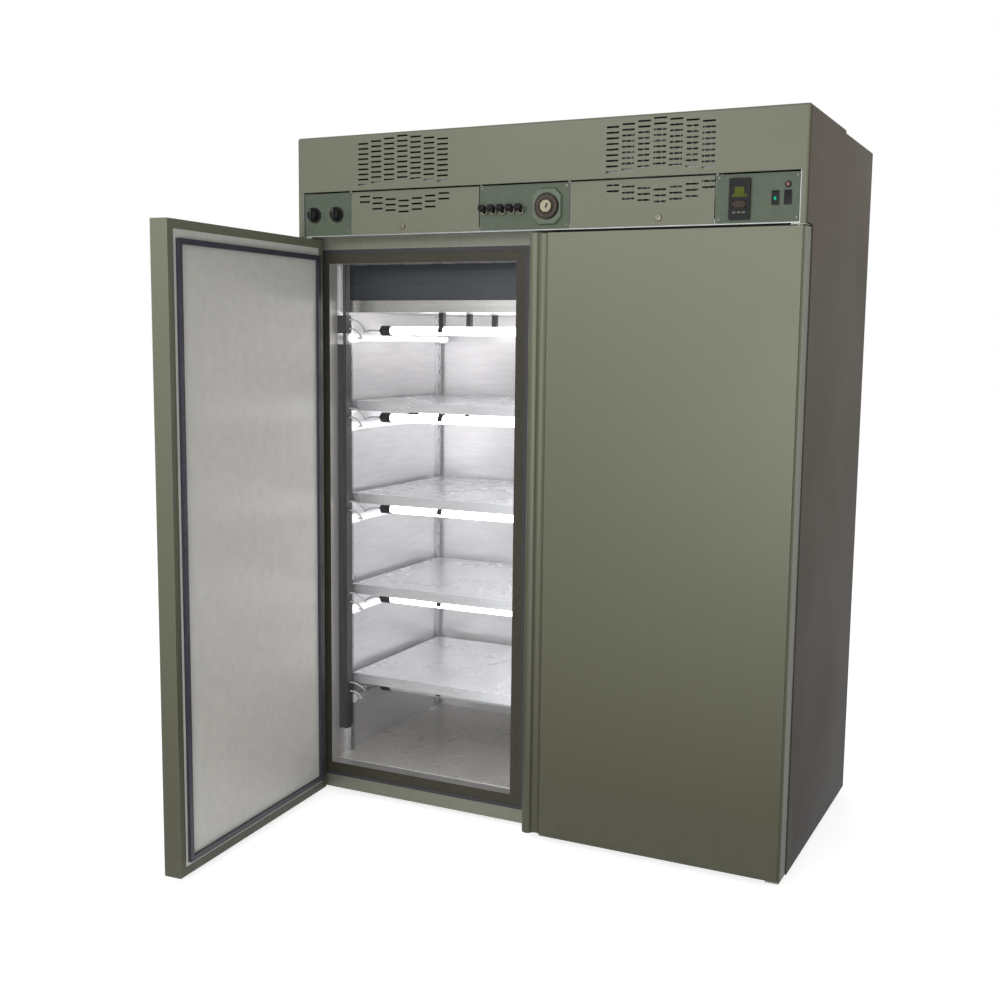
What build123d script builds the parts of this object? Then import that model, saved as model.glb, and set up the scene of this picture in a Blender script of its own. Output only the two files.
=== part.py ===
"""Two-door upright plant growth chamber: insulated steel cabinet with four lit shelves.

Frame: X to the right, Y from the door fronts to the back, Z up, in millimetres.
The origin is the centre of the plinth's underside. The left door stands open.
"""
from build123d import *
import math
import os

# Overall cabinet
width = 1500.0
depth = 830.0
height = 2000.0
plinth_height = 20.0
plinth_inset = 45.0
sheet = 2.0

# Insulated walls and chamber
wall = 48.0
back_wall = 48.0
floor_top = 100.0
ceiling_bottom = 1657.0
header_bottom = 1716.0

# Doors
door_thick = 58.0
seal_gap = 10.0
door_bottom = 23.0
door_top = 1708.0
door_side_gap = 2.0
door_middle_gap = 3.0
door_corner_radius = 8.0
strip_width = 26.0
channel_width = 32.0
channel_depth = 14.0
bead_drop = 9.0
flange_width = 24.0
liner_thick = 2.0
gasket_width = 14.0
gasket_squeeze = 0.4
gasket_side = 27.0
gasket_free_side = 33.0
gasket_top = 46.0
gasket_bottom = 33.0
open_angle = 86.0

# Door pivots
pivot_side = 22.0
pivot_depth = 24.0
pin_radius = 5.0
pin_length = 18.0
pivot_clearance = 0.05
bracket_width = 40.0
bracket_thick = 4.0
bracket_front = 10.0
washer_radius = 9.0

# Face frame with its breaker strips
frame_depth = 44.0
frame_rebate = 6.0
mullion_land = 52.0
stile_land = 20.0
bottom_land = 39.0
top_land = 34.0
seal_strip_width = 11.0
breaker_width = 41.0
breaker_lip = 3.0
breaker_recess = 2.0

# Shelves on slotted standards
shelf_pitch = 288.0
shelf_low = 366.0
shelf_count = 4
shelf_front = 165.0
shelf_depth = 560.0
shelf_side_gap = 28.0
shelf_lip = 30.0
shelf_return = 14.0
shelf_side_lip = 14.0
nose_radius = 1.5
standard_width = 20.0
standard_depth = 12.0
standard_front = 180.0
standard_rear = 745.0
slot_pitch = 48.0
runner_width = 30.0
runner_height = 24.0

# Lamps
tube_radius = 13.0
tube_length = 1200.0
lamp_drop = 54.0
first_lamp = 250.0
lamp_spacing = 180.0
lamps_per_level = 3
cap_radius = 15.5
cap_length = 34.0
clip_width = 16.0
side_lamp_drop = 78.0
side_lamp_front = 150.0
side_lamp_length = 590.0
side_lamp_inset = 40.0
side_cap_length = 24.0

# Cable duct and lamp leads
duct_width = 42.0
duct_depth = 30.0
duct_offset = 2.0
duct_low = 205.0
duct_high = 1400.0
junction_low = 1436.0
junction_high = 1490.0
feed_radius = 4.5
duct_wall = 2.5
lead_radius = 2.5
lead_outlet = 12.0
main_outlet = 22.0
side_outlet = 50.0

# Cooler box under the ceiling
cooler_bottom = 1500.0
cooler_front = 150.0
cooler_rail = 35.0
cooler_top_rail = 14.0
cooler_stile = 32.0
grille_margin = 4.0
blower_radius = 42.0
blower_length = 900.0
blower_front = 240.0
shaft_radius = 4.0

# Header with its hood and fascia
hood_depth = 425.0
hood_radius = 8.0
seam = 1843.0
end_strip = 18.0
rear_step = 12.0
fascia_recess = 8.0
plate_thick = 3.0
panel_gap = 1.0
fascia_low = 1719.0
fascia_high = 1839.0

# Vent slots, centred on two groups
vent_centres = (-394.0, 367.0)
vent_columns = 7
vent_rows = 9
column_pitch = 43.0
row_pitch = 14.2
slot_width = 34.0
slot_height = 5.0
vent_rise = 31.0
vent_step = 5.2
flap_rows = 3

# Flaps and locks
flap_axis_depth = 15.0
flap_axis_height = 1834.0
flap_pin_radius = 2.0
lug_length = 6.0
lock_radius = 9.0
lock_height = 1739.0
cam_length = 20.0

# Controls
control_height = 1778.0
knob_places = (-696.0, -618.0)
knob_radius = 22.0
knob_length = 20.0
toggle_first = -136.0
toggle_pitch = 27.3
toggle_count = 5
toggle_height = 1770.0
toggle_head = 20.0
toggle_ball = 4.0
toggle_tilt = 25.0
timer_place = 53.0
timer_width = 88.0
timer_height = 98.0
timer_depth = 8.0
motor_neck = 7.0
dial_radius = 33.0
dial_core = 20.0
controller_place = 578.0
controller_width = 54.0
controller_height = 102.0
key_stem = 2.0
rocker_places = (667.5, 698.5)
rocker_width = 14.0
rocker_height = 30.0
lamp_place = (698.5, 1809.5)
lamp_radius = 8.0

# Machinery in the header
fan_radius = 105.0
fan_place = 367.0
fan_height = 1855.0

# Mains inlet
gland_place = (600.0, 1748.0)
gland_thread = 9.0
gland_bore = 6.0

half = width / 2
door_front = -depth / 2
back = depth / 2
inner = half - wall - sheet
frame_front = door_front + door_thick + seal_gap
frame_back = frame_front + frame_depth
back_inner = back - back_wall - sheet
pivot_x = -half + pivot_side
pivot_y = door_front + pivot_depth
shelf_levels = [shelf_low + shelf_pitch * i for i in range(shelf_count)]
lamp_levels = shelf_levels + [cooler_bottom]


def at(depth_from_front):
    """Y of a plane that lies this far behind the door fronts."""
    return door_front + depth_from_front


def slab(x0, x1, y0, y1, z0, z1):
    """Solid block between two corners."""
    centre = Location(((x0 + x1) / 2, (y0 + y1) / 2, (z0 + z1) / 2))
    return centre * Box(x1 - x0, y1 - y0, z1 - z0)


def mirrored(shape):
    """The same shape on the other side of the cabinet."""
    return mirror(shape, about=Plane.YZ)


def rod_x(x0, x1, y, z, radius):
    """Round bar along X."""
    return Location(((x0 + x1) / 2, y, z), (0, 90, 0)) * Cylinder(radius, x1 - x0)


def rod_y(y0, y1, x, z, radius):
    """Round bar along Y."""
    return Location((x, (y0 + y1) / 2, z), (90, 0, 0)) * Cylinder(radius, y1 - y0)


def rod_z(z0, z1, x, y, radius):
    """Round bar along Z."""
    return Location((x, y, (z0 + z1) / 2)) * Cylinder(radius, z1 - z0)


def window(x0, x1, y0, y1, z0, z1, rim):
    """Flat rectangular ring in the XZ plane."""
    hole = slab(x0 + rim, x1 - rim, y0 - 1, y1 + 1, z0 + rim, z1 - rim)
    return slab(x0, x1, y0, y1, z0, z1) - hole


def save(name, *solids):
    """Write the solids of one node."""
    flat = []
    for item in solids:
        flat.extend(item.solids())
    export_step(Compound(children=flat), f"parts/{name}.step")


# Insulated carcass

def base_plinth():
    """Folded tray that the cabinet stands on, set back under its edges."""
    left, right = -half + plinth_inset, half - plinth_inset
    front, rear = frame_front + plinth_inset, back - plinth_inset
    body = slab(left, right, front, rear, 0, plinth_height)
    rim = 3.0
    return body - slab(left + rim, right - rim, front + rim, rear - rim, rim, plinth_height + 1)


def side_panel():
    """Left insulated wall; its skin laps the face frame and closes the header."""
    skin = -half + sheet
    body = slab(-half, -half + wall, frame_back, back, plinth_height, header_bottom)
    lap = slab(-half, skin, frame_front, frame_back, plinth_height, header_bottom)
    cheek = slab(-half, skin, at(hood_depth), back, header_bottom, height - rear_step)
    return body + lap + cheek


def across_panel(y0, y1, z0, z1):
    """Insulated panel that spans between the side walls."""
    return slab(-half + wall, half - wall, y0, y1, z0, z1)


def chamber_liner():
    """Polished sheets that line the chamber, one per wall."""
    low, high = floor_top, ceiling_bottom
    left = slab(-inner - sheet, -inner, frame_back, back_inner + sheet, low, high)
    floor = slab(-inner, inner, frame_back, back_inner, low, low + sheet)
    ceiling = slab(-inner, inner, frame_back, back_inner, high - sheet, high)
    rear = slab(-inner, inner, back_inner, back_inner + sheet, low, high)
    return [left, mirrored(left), floor, ceiling, rear]


# Face frame: stiles, rails and mullion with a rebate for the breaker strips

land_x = half - stile_land - sheet
land_low = plinth_height + bottom_land
land_high = header_bottom - top_land
reveal = breaker_width - breaker_lip


def frame_bars():
    """Seven bars around the two doorways."""
    step = frame_front + frame_rebate
    stile = slab(-half + sheet, -land_x, frame_front, frame_back, plinth_height, header_bottom)
    stile += slab(-land_x, -land_x + reveal, step, frame_back, plinth_height, header_bottom)
    post_half = mullion_land / 2
    mullion = slab(-post_half, post_half, frame_front, step, plinth_height, header_bottom)
    mullion += slab(-post_half - reveal, post_half + reveal, step, frame_back,
                    plinth_height, header_bottom)
    x0, x1 = -land_x + reveal, -post_half - reveal
    sill = slab(x0, x1, step, frame_back, plinth_height, land_low + reveal)
    sill += slab(-land_x, -post_half, frame_front, step, plinth_height, land_low)
    head = slab(x0, x1, step, frame_back, land_high - reveal, header_bottom)
    head += slab(-land_x, -post_half, frame_front, step, land_high, header_bottom)
    return [stile, mirrored(stile), mullion, sill, mirrored(sill), head, mirrored(head)]


def opening_ring(inset, rim, y0, y1):
    """Ring that follows the left doorway, this far in from the frame's land."""
    return window(-land_x + inset, -mullion_land / 2 - inset, y0, y1,
                  land_low + inset, land_high - inset, rim)


def breaker_frame():
    """Plastic strip on the frame's face with a lip that lines the reveal."""
    face = opening_ring(seal_strip_width, breaker_width - seal_strip_width,
                        frame_front + breaker_recess, frame_front + frame_rebate)
    lip = opening_ring(reveal, breaker_lip, frame_front + frame_rebate, frame_back)
    return face + lip


def seal_strip():
    """Dark strip that the door gasket closes on."""
    return opening_ring(0, seal_strip_width, frame_front + 0.4, frame_front + frame_rebate)


# Doors, drawn closed on the left side

free_x = -door_middle_gap / 2
hinge_x = -half + door_side_gap


def door_profile():
    """Plan outline with the rounded hinge corner, grip channel and free bead."""
    rear = at(door_thick)
    r = door_corner_radius
    mouth = free_x - strip_width - channel_width
    ridge = free_x - strip_width
    bead = at(bead_drop)
    lines = Polyline((free_x, bead), (free_x, rear), (hinge_x, rear), (hinge_x, door_front + r))
    corner = RadiusArc((hinge_x, door_front + r), (hinge_x + r, door_front), r)
    face = Line((hinge_x + r, door_front), (mouth, door_front))
    groove = ThreePointArc((mouth, door_front), ((mouth + ridge) / 2, at(channel_depth)),
                           (ridge, at(3.0)))
    nose = ThreePointArc((ridge, at(3.0)), (free_x - strip_width / 2, door_front),
                         (free_x, bead))
    return make_face([lines, corner, face, groove, nose])


def door_shell():
    """Foamed steel door with a recess for its liner and bores for its pivots."""
    profile = door_profile()
    shell = Location((0, 0, door_bottom)) * extrude(profile, door_top - door_bottom)
    shell -= liner_block(0)
    for z0 in (door_bottom, door_top - pin_length - 2):
        shell -= rod_z(z0 - 0.1, z0 + pin_length + 2.1, pivot_x, pivot_y,
                       pin_radius + pivot_clearance)
    return shell


def liner_block(gap):
    """Space of the inner panel, inside the returned flange of the shell."""
    return slab(hinge_x + flange_width + gap, free_x - flange_width - gap,
                at(door_thick - liner_thick), at(door_thick),
                door_bottom + flange_width + gap, door_top - flange_width - gap)


def door_gasket():
    """Hollow magnetic gasket: a flat foot, two webs and a crowned face."""
    x0, x1 = hinge_x + gasket_side, free_x - gasket_free_side
    z0, z1 = door_bottom + gasket_bottom, door_top - gasket_top
    foot, face = at(door_thick), at(door_thick + seal_gap - gasket_squeeze)
    body = window(x0, x1, foot, face, z0, z1, gasket_width)
    groove = window(x0 + 4, x1 - 4, foot + 3, face - 3, z0 + 4, z1 - 4, gasket_width - 8)
    rim = 2.0
    flare = window(x0 - 1, x1 + 1, foot + 2, face - 3.5, z0 - 1, z1 + 1, rim)
    return body - groove - flare


def swung_left(shape):
    """A closed left-door piece turned to the open rest pose."""
    axis = Axis((pivot_x, pivot_y, 0), (0, 0, 1))
    return shape.rotate(axis, -open_angle)


def hinge_set():
    """Pivot brackets with their pins and washers, upper and lower."""
    x0, x1 = pivot_x - bracket_width / 2 + 4, pivot_x + bracket_width / 2
    low_top = door_bottom - bracket_thick
    low = slab(x0, x1, at(bracket_front), frame_front, low_top - bracket_thick, low_top)
    low += slab(x0, x1, frame_front - 4, frame_front, low_top, door_bottom + 26)
    low += rod_z(low_top, door_bottom + pin_length, pivot_x, pivot_y, pin_radius)
    low += rod_z(low_top, door_bottom - 0.3, pivot_x, pivot_y, washer_radius)
    high_bottom = header_bottom - bracket_thick
    high = slab(x0, x1, at(bracket_front), frame_front, high_bottom, header_bottom)
    high += rod_z(door_top - pin_length, high_bottom, pivot_x, pivot_y, pin_radius)
    high += rod_z(door_top + 0.3, high_bottom, pivot_x, pivot_y, washer_radius)
    return [low, high, mirrored(low), mirrored(high)]


# Shelves, standards and runners

def shelf(top):
    """Steel tray: deep folded front rail, shallow side lips, rear rail notched at its ends."""
    edge = inner - shelf_side_gap
    notch = edge - runner_width + shelf_side_gap - standard_depth - 2
    front, rear = at(shelf_front), at(shelf_front + shelf_depth)
    low = top - shelf_lip
    tray = slab(-edge, edge, front, rear, top - sheet, top)
    tray += slab(-edge, edge, front, front + sheet, low, top)
    tray += slab(-edge, edge, front, front + shelf_return, low, low + sheet)
    tray += slab(-notch, notch, rear - sheet, rear, low, top)
    tray += slab(-notch, notch, rear - shelf_return, rear, low, low + sheet)
    for x0, x1 in ((-edge, -edge + sheet), (edge - sheet, edge)):
        tray += slab(x0, x1, front, rear, top - shelf_side_lip, top)
    nose = tray.edges().filter_by(Axis.X).group_by(Axis.Y)[0].sort_by(Axis.Z)[-1]
    return fillet(nose, nose_radius)


def standard(y):
    """Slotted channel on the left wall."""
    low, high = floor_top + sheet, cooler_bottom
    bar = slab(-inner, -inner + standard_depth, y, y + standard_width, low, high)
    bar -= slab(-inner - 1, -inner + standard_depth - 2, y + 2, y + standard_width - 2,
                low - 1, high + 1)
    count = int((high - low) / slot_pitch) - 1
    slots = [slab(-inner + standard_depth - 3, -inner + standard_depth + 1,
                  y + 7.5, y + standard_width - 7.5,
                  low + slot_pitch * (i + 1), low + slot_pitch * (i + 1) + 14)
             for i in range(count)]
    return bar - slots


def runner(top):
    """Left angle that hooks on both standards and carries a shelf."""
    wall_x = -inner + standard_depth
    z = top - shelf_side_lip
    y0, y1 = at(standard_front) + 2, at(standard_rear) + standard_width - 2
    leg = slab(wall_x, wall_x + runner_width, y0, y1, z - sheet, z)
    leg += slab(wall_x, wall_x + sheet, y0, y1, z - runner_height, z)
    return leg


# Lamps

def lamp_rows():
    """Depths of the lamps under each level."""
    return [at(first_lamp + lamp_spacing * i) for i in range(lamps_per_level)]


def tube(y, top):
    """Fluorescent tube along the shelf."""
    reach = tube_length / 2
    return rod_x(-reach, reach, y, top - lamp_drop, tube_radius)


def end_caps(y, top):
    """Waterproof lamp holders on both ends of a tube."""
    reach = tube_length / 2
    z = top - lamp_drop
    cap = rod_x(-reach - 12, -reach + cap_length - 12, y, z, cap_radius)
    cap -= rod_x(-reach, -reach + cap_length, y, z, tube_radius)
    tail = Location((-reach - 17, y, z), (0, 90, 0)) * Cone(4, cap_radius - 3, 10)
    cap += tail
    return [cap, mirrored(cap)]


def tube_clips(y, top, base):
    """Spring clips that hold a tube under a shelf or under the cooler box."""
    clips = []
    z = top - lamp_drop
    for x in (-tube_length / 3, tube_length / 3):
        ring = rod_x(x - clip_width / 2, x + clip_width / 2, y, z, tube_radius + 1.5)
        ring -= rod_x(x - clip_width, x + clip_width, y, z, tube_radius)
        ring -= slab(x - clip_width, x + clip_width, y - 30, y + 30, z - 30, z - 5)
        stem = slab(x - clip_width / 2, x + clip_width / 2, y - 8, y + 8,
                    z + tube_radius, base)
        stem -= rod_x(x - clip_width, x + clip_width, y, z, tube_radius)
        clips.append(ring + stem)
    return clips


def side_lamp(top):
    """Short lamp along the left wall with ring-shaped caps on both ends."""
    x = -inner + side_lamp_inset
    z = top - side_lamp_drop
    y0 = at(side_lamp_front)
    y1 = y0 + side_lamp_length
    body = rod_y(y0 + 2, y1 - 2, x, z, tube_radius - 1)
    for start, end in ((y0, y0 + side_cap_length), (y1 - side_cap_length, y1)):
        body += rod_y(start, end, x, z, tube_radius + 2)
    body -= rod_y(y0 - 1, y0 + 4, x, z, 5)
    return body


def side_clips(top):
    """Saddle blocks that hold the side lamp to the front standard and to the wall."""
    x = -inner + side_lamp_inset
    z = top - side_lamp_drop
    seats = ((at(standard_front) + 4, -inner + standard_depth),
             (at(standard_rear) - 60, -inner))
    blocks = []
    for y, wall_x in seats:
        block = slab(wall_x, x, y, y + 12, z - 6, z + 6)
        blocks.append(block - rod_y(y - 1, y + 13, x, z, tube_radius - 1))
    return blocks


# Cable duct and leads

duct_x0 = -inner
duct_x1 = -inner + duct_width
duct_y0 = frame_back + duct_offset
duct_y1 = duct_y0 + duct_depth


def cable_duct():
    """Dark trunking in the front left corner with a snap-on lid and side outlets."""
    body = slab(duct_x0, duct_x1, duct_y0, duct_y1, duct_low, duct_high)
    body -= slab(duct_x0 + duct_wall, duct_x1 - duct_wall, duct_y0 + duct_wall,
                 duct_y1 - duct_wall, duct_low - 1, duct_high + 1)
    lid = slab(duct_x0 + 4, duct_x1 - 4, duct_y0 - 1.5, duct_y0, duct_low, duct_high)
    for top in shelf_levels:
        for drop in (main_outlet, side_outlet):
            body += rod_x(duct_x1 - duct_wall, duct_x1, duct_y1 - lead_outlet, top - drop,
                          lead_radius + 2)
    return body + lid


def duct_plugs():
    """Plugs at both ends of the duct, and the feed cable through its junction box."""
    x, y = (duct_x0 + duct_x1) / 2, (duct_y0 + duct_y1) / 2
    fit = duct_wall
    top = slab(duct_x0 + fit, duct_x1 - fit, duct_y0 + fit, duct_y1 - fit,
               duct_high - 12, duct_high + 3)
    top += rod_z(duct_high, junction_low + 5, x + 6, y, feed_radius)
    box = slab(duct_x0, duct_x1, duct_y0, duct_y1, junction_low, junction_high)
    top += fillet(box.edges().filter_by(Axis.X), 5)
    top += rod_z(junction_high - 5, ceiling_bottom - sheet, x + 6, y, feed_radius)
    low = slab(duct_x0 + fit, duct_x1 - fit, duct_y0 + fit, duct_y1 - fit,
               duct_low - 8, duct_low + 12)
    return [top, low]


def lead(points, radii):
    """Flexible lead: straight runs joined by arcs."""
    path = FilletPolyline(*points, radius=radii)
    section = Plane(origin=path @ 0, z_dir=path % 0) * Circle(lead_radius)
    return sweep(section, path=path)


def level_leads(top):
    """Leads from the duct to the first tube and to the side lamp of one level."""
    x0, y0 = duct_x1, duct_y1 - lead_outlet
    cap_x = -tube_length / 2 - 22
    cap_y = at(first_lamp)
    cap_z = top - lamp_drop
    z0 = top - main_outlet
    main = [(x0, y0, z0), (x0 + 16, y0, z0), (x0 + 30, y0 + 6, z0 - 8),
            (x0 + 36, y0 + 22, z0 - 20), (x0 + 28, y0 + 42, z0 - 34),
            (x0 + 16, y0 + 60, z0 - 40), (x0 + 10, y0 + 82, cap_z - 2),
            (x0 + 16, cap_y - 10, cap_z + 1), (x0 + 24, cap_y, cap_z), (cap_x, cap_y, cap_z)]
    lamp_x = -inner + side_lamp_inset + tube_radius + 2
    lamp_y = at(side_lamp_front) + side_cap_length / 2
    lamp_z = top - side_lamp_drop
    z0 = top - side_outlet
    side = [(x0, y0, z0), (x0 + 14, y0, z0), (x0 + 27, y0 + 6, z0 - 8),
            (x0 + 32, y0 + 18, lamp_z + 4), (x0 + 27, lamp_y - 3, lamp_z + 1),
            (lamp_x + 12, lamp_y, lamp_z), (lamp_x, lamp_y, lamp_z)]
    return [lead(main, lead_bends(main)), lead(side, lead_bends(side))]


def lead_bends(points):
    """Largest arcs that the runs beside each corner allow."""
    radii = []
    for a, b, c in zip(points, points[1:], points[2:]):
        before = Vector(*b) - Vector(*a)
        after = Vector(*c) - Vector(*b)
        turn = math.radians(before.get_angle(after))
        shorter = min(before.length, after.length)
        radii.append(0.45 * shorter / math.tan(turn / 2))
    return radii


# Cooler box

def cooler_frame():
    """Bright frame and bottom plate of the cooler, with blower bearings."""
    y = at(cooler_front)
    high = ceiling_bottom - sheet
    x = inner
    face = slab(-x, x, y, y + sheet, cooler_bottom, high)
    face -= slab(-x + cooler_stile, x - cooler_stile, y - 1, y + sheet + 1,
                 cooler_bottom + cooler_rail, high - cooler_top_rail)
    plate = slab(-x, x, y + sheet, back_inner, cooler_bottom, cooler_bottom + sheet)
    slots = [slab(-560 + 80 * i, -510 + 80 * i, back_inner - 130, back_inner - 40,
                  cooler_bottom - 1, cooler_bottom + sheet + 1) for i in range(15)]
    body = face + (plate - slots)
    for side in (-1, 1):
        bx = side * (blower_length / 2 + 8)
        ear = slab(bx - 3, bx + 3, at(blower_front) - 16, at(blower_front) + 16,
                   cooler_bottom + sheet, blower_z + 14)
        ear -= rod_x(bx - 4, bx + 4, at(blower_front), blower_z, shaft_radius + 0.05)
        body += ear
    return body


blower_z = cooler_bottom + 62.0


def cooler_grille():
    """Dark front panel with pressed horizontal ribs."""
    y = at(cooler_front) + sheet
    x = inner - cooler_stile + grille_margin
    low = cooler_bottom + cooler_rail - grille_margin
    high = ceiling_bottom - sheet - cooler_top_rail + grille_margin
    panel = slab(-x, x, y, y + 3, low, high)
    ribs = [slab(-x + 20, x - 20, y - 1, y + 1, low + 20 + 22 * i, low + 23 + 22 * i)
            for i in range(4)]
    return panel - ribs


def evaporator():
    """Finned coil: plates on hairpin tubes with a channel at each end."""
    y0, y1 = at(420), at(540)
    z0, z1 = cooler_bottom + sheet, ceiling_bottom - sheet - 12
    fins = slab(-606, -600, y0, y1, z0, z1) + slab(600, 606, y0, y1, z0, z1)
    tubes = [rod_x(-640, 640, y, z, 6) for y in (at(450), at(510)) for z in (z0 + 40, z0 + 95)]
    coil = fins
    for item in tubes:
        coil += item
    for i in range(29):
        x = -560 + 40 * i
        coil += slab(x - 1, x + 1, y0 + 4, y1 - 4, z0 + 4, z1 - 4)
    return coil


def blower():
    """Cross-flow wheel: curved blades between discs on one shaft."""
    y, z = at(blower_front), blower_z
    reach = blower_length / 2
    wheel = rod_x(-reach - 12, reach + 12, y, z, shaft_radius)
    for i in range(5):
        x = -reach + 10 + (blower_length - 20) / 4 * i
        wheel += rod_x(x - 2, x + 2, y, z, blower_radius)
    blade_arc = ThreePointArc((blower_radius - 14, 0), (blower_radius - 6, 3.5),
                              (blower_radius - 1, 10))
    outer_arc = ThreePointArc((blower_radius - 1, 10), (blower_radius - 7, 5.5),
                              (blower_radius - 14, 2))
    close = Line((blower_radius - 14, 2), (blower_radius - 14, 0))
    section = make_face([blade_arc, outer_arc, close])
    blade = extrude(section, blower_length - 20)
    for i in range(14):
        turned = blade.rotate(Axis.Z, 360 / 14 * i)
        wheel += Location((-reach + 10, y, z), (0, 90, 0)) * turned
    return wheel


# Header sheet metal

def slot_places():
    """Slot centres of the two vents in the hood, which bulge away from the seam."""
    places = []
    for centre in vent_centres:
        for c in range(vent_columns):
            off = c - (vent_columns - 1) / 2
            rise = vent_rise - vent_step * abs(off)
            for r in range(vent_rows):
                places.append((centre + column_pitch * off, seam + rise + row_pitch * r))
    return places


def hood_cover():
    """Folded hood over the front half of the header, with the upper vent slots."""
    y0, y1 = door_front, at(hood_depth)
    outer = slab(-half, half, y0, y1, header_bottom, height)
    rims = outer.edges().filter_by(Axis.Z).group_by(Axis.Y)[0]
    rims += outer.edges().group_by(Axis.Z)[-1].filter_by(Axis.X).group_by(Axis.Y)[0]
    rims += outer.edges().group_by(Axis.Z)[-1].filter_by(Axis.Y)
    outer = fillet(rims, hood_radius)
    core = slab(-half + sheet, half - sheet, y0 + sheet, y1 + 1, header_bottom - 1, height - sheet)
    rims = core.edges().filter_by(Axis.Z).group_by(Axis.Y)[0]
    rims += core.edges().group_by(Axis.Z)[-1].filter_by(Axis.X).group_by(Axis.Y)[0]
    rims += core.edges().group_by(Axis.Z)[-1].filter_by(Axis.Y)
    core = fillet(rims, hood_radius - sheet)
    hood = outer - core
    hood -= slab(-half + end_strip, half - end_strip, y0 - 1, y0 + 12, header_bottom - 1, seam)
    hem = slab(-half + end_strip, half - end_strip, y0 + sheet, at(fascia_recess) + plate_thick,
               seam, seam + sheet)
    hood += hem
    cuts = [slab(x - slot_width / 2, x + slot_width / 2, y0 - 1, y0 + sheet + 0.5,
                 z - slot_height / 2, z + slot_height / 2) for x, z in slot_places()]
    return hood - cuts


def rear_cover():
    """Lower cover over the back half of the header with louvre slots behind."""
    x = half - sheet
    top = height - rear_step
    lid = slab(-x, x, at(hood_depth) - 25, back, top - sheet, top)
    inset = half - hood_radius
    riser = slab(-inset, inset, at(hood_depth) - 25, at(hood_depth) - 25 + sheet, top,
                 height - sheet)
    rear = slab(-x, x, back - sheet, back, header_bottom, top - sheet)
    cuts = [slab(xc - 60, xc + 60, back - 5, back + 1, 1770 + 24 * r, 1778 + 24 * r)
            for xc in (-480, -320, 320, 480) for r in range(7)]
    inlet = rod_y(back - 5, back + 1, gland_place[0], gland_place[1], gland_thread)
    return lid + riser + (rear - cuts - inlet)


panels = {
    "left": (-half + end_strip + 2, -571.0),
    "flap_left": (-569.0, -153.0),
    "centre": (-151.0, 116.0),
    "flap_right": (118.0, 514.0),
    "right": (516.0, half - end_strip - 2),
}


def fascia_frame():
    """Channels behind the fascia: the header's underside, posts and hinge lugs."""
    y = at(fascia_recess) + 3
    x = half - end_strip - 1
    body = slab(-x, x, y, y + sheet, header_bottom, fascia_low + 12)
    body += slab(-x, x, y + sheet, frame_back, header_bottom, header_bottom + sheet)
    body += slab(-x, x, y, y + sheet, seam + sheet, seam + 26)
    for side in (-1, 1):
        a, b = sorted((side * (x + 1), side * (x - 1)))
        body += slab(a, b, door_front + sheet, y + 50, header_bottom, seam + 26) \
            - slab(a - 1, b + 1, door_front, door_front + 12.5, seam - 1, seam + sheet + 1)
    edges = [panels["flap_left"][0], panels["flap_left"][1],
             panels["flap_right"][0], panels["flap_right"][1]]
    for i, edge in enumerate(edges):
        out = -1 if i % 2 == 0 else 1
        a, b = sorted((edge + out * 1.0, edge + out * (1.0 + lug_length)))
        post = slab(a, b, y, y + sheet, header_bottom, seam + 26)
        lug = slab(a, b, y, at(flap_axis_depth) + 4, flap_axis_height - 4, flap_axis_height + 4)
        post += lug
        post -= rod_x(a - 1, b + 1, at(flap_axis_depth), flap_axis_height,
                      flap_pin_radius + 0.05)
        body += post
        body -= rod_x(a, b, at(flap_axis_depth), flap_axis_height, flap_pin_radius + 0.05)
    return body


def fascia_plate(name):
    """Blank fixed plate of the fascia."""
    x0, x1 = panels[name]
    y = at(fascia_recess)
    plate = slab(x0, x1, y, y + 3, header_bottom + sheet + 1, fascia_high)
    return plate


def control_plates():
    """Three fixed plates, bored and cut for what they carry."""
    y0, y1 = at(fascia_recess) - 1, at(fascia_recess) + 4
    left = fascia_plate("left")
    for x in knob_places:
        left -= rod_y(y0, y1, x, control_height, 3.05)
    centre = fascia_plate("centre")
    for i in range(toggle_count):
        centre -= rod_y(y0, y1, toggle_first + toggle_pitch * i, toggle_height, 6.5)
    centre -= rod_y(y0, y1, timer_place, control_height, motor_neck)
    right = fascia_plate("right")
    right -= slab(controller_place - 23, controller_place + 23, y0, y1,
                  control_height - 46, control_height + 46)
    for x in rocker_places:
        right -= slab(x - rocker_width / 2 - 1, x + rocker_width / 2 + 1, y0, y1,
                      control_height - rocker_height / 2 - 1,
                      control_height + rocker_height / 2 + 1)
    return [left, centre, right]


def flap(name, vent_centre, lock_x):
    """Hinged access flap with the lower vent slots, pins and stiffening folds."""
    x0, x1 = panels[name]
    x0, x1 = x0 + panel_gap, x1 - panel_gap
    y = at(fascia_recess)
    plate = slab(x0, x1, y, y + sheet, fascia_low, fascia_high)
    cuts = []
    for c in range(vent_columns):
        off = c - (vent_columns - 1) / 2
        rows = flap_rows if abs(off) < 3 else flap_rows - 1
        for r in range(rows):
            x = vent_centre + column_pitch * off
            z = seam - vent_rise - 2 + vent_step * abs(off) - (row_pitch + 1) * r
            cuts.append(slab(x - slot_width / 2, x + slot_width / 2, y - 1, y + sheet + 1,
                             z - slot_height / 2, z + slot_height / 2))
    plate -= cuts
    plate -= rod_y(y - 1, y + 4, lock_x, lock_height, 6.05)
    pin_y = at(flap_axis_depth)
    for a, b, tip in ((x0, x0 + 3, x0 - lug_length - 0.5), (x1 - 3, x1, x1 + lug_length + 0.5)):
        plate += slab(a, b, y + sheet, pin_y + 3, flap_axis_height - 6, flap_axis_height + 3)
        plate += rod_x(min(a, tip), max(b, tip), pin_y, flap_axis_height, flap_pin_radius)
    return plate


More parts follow.
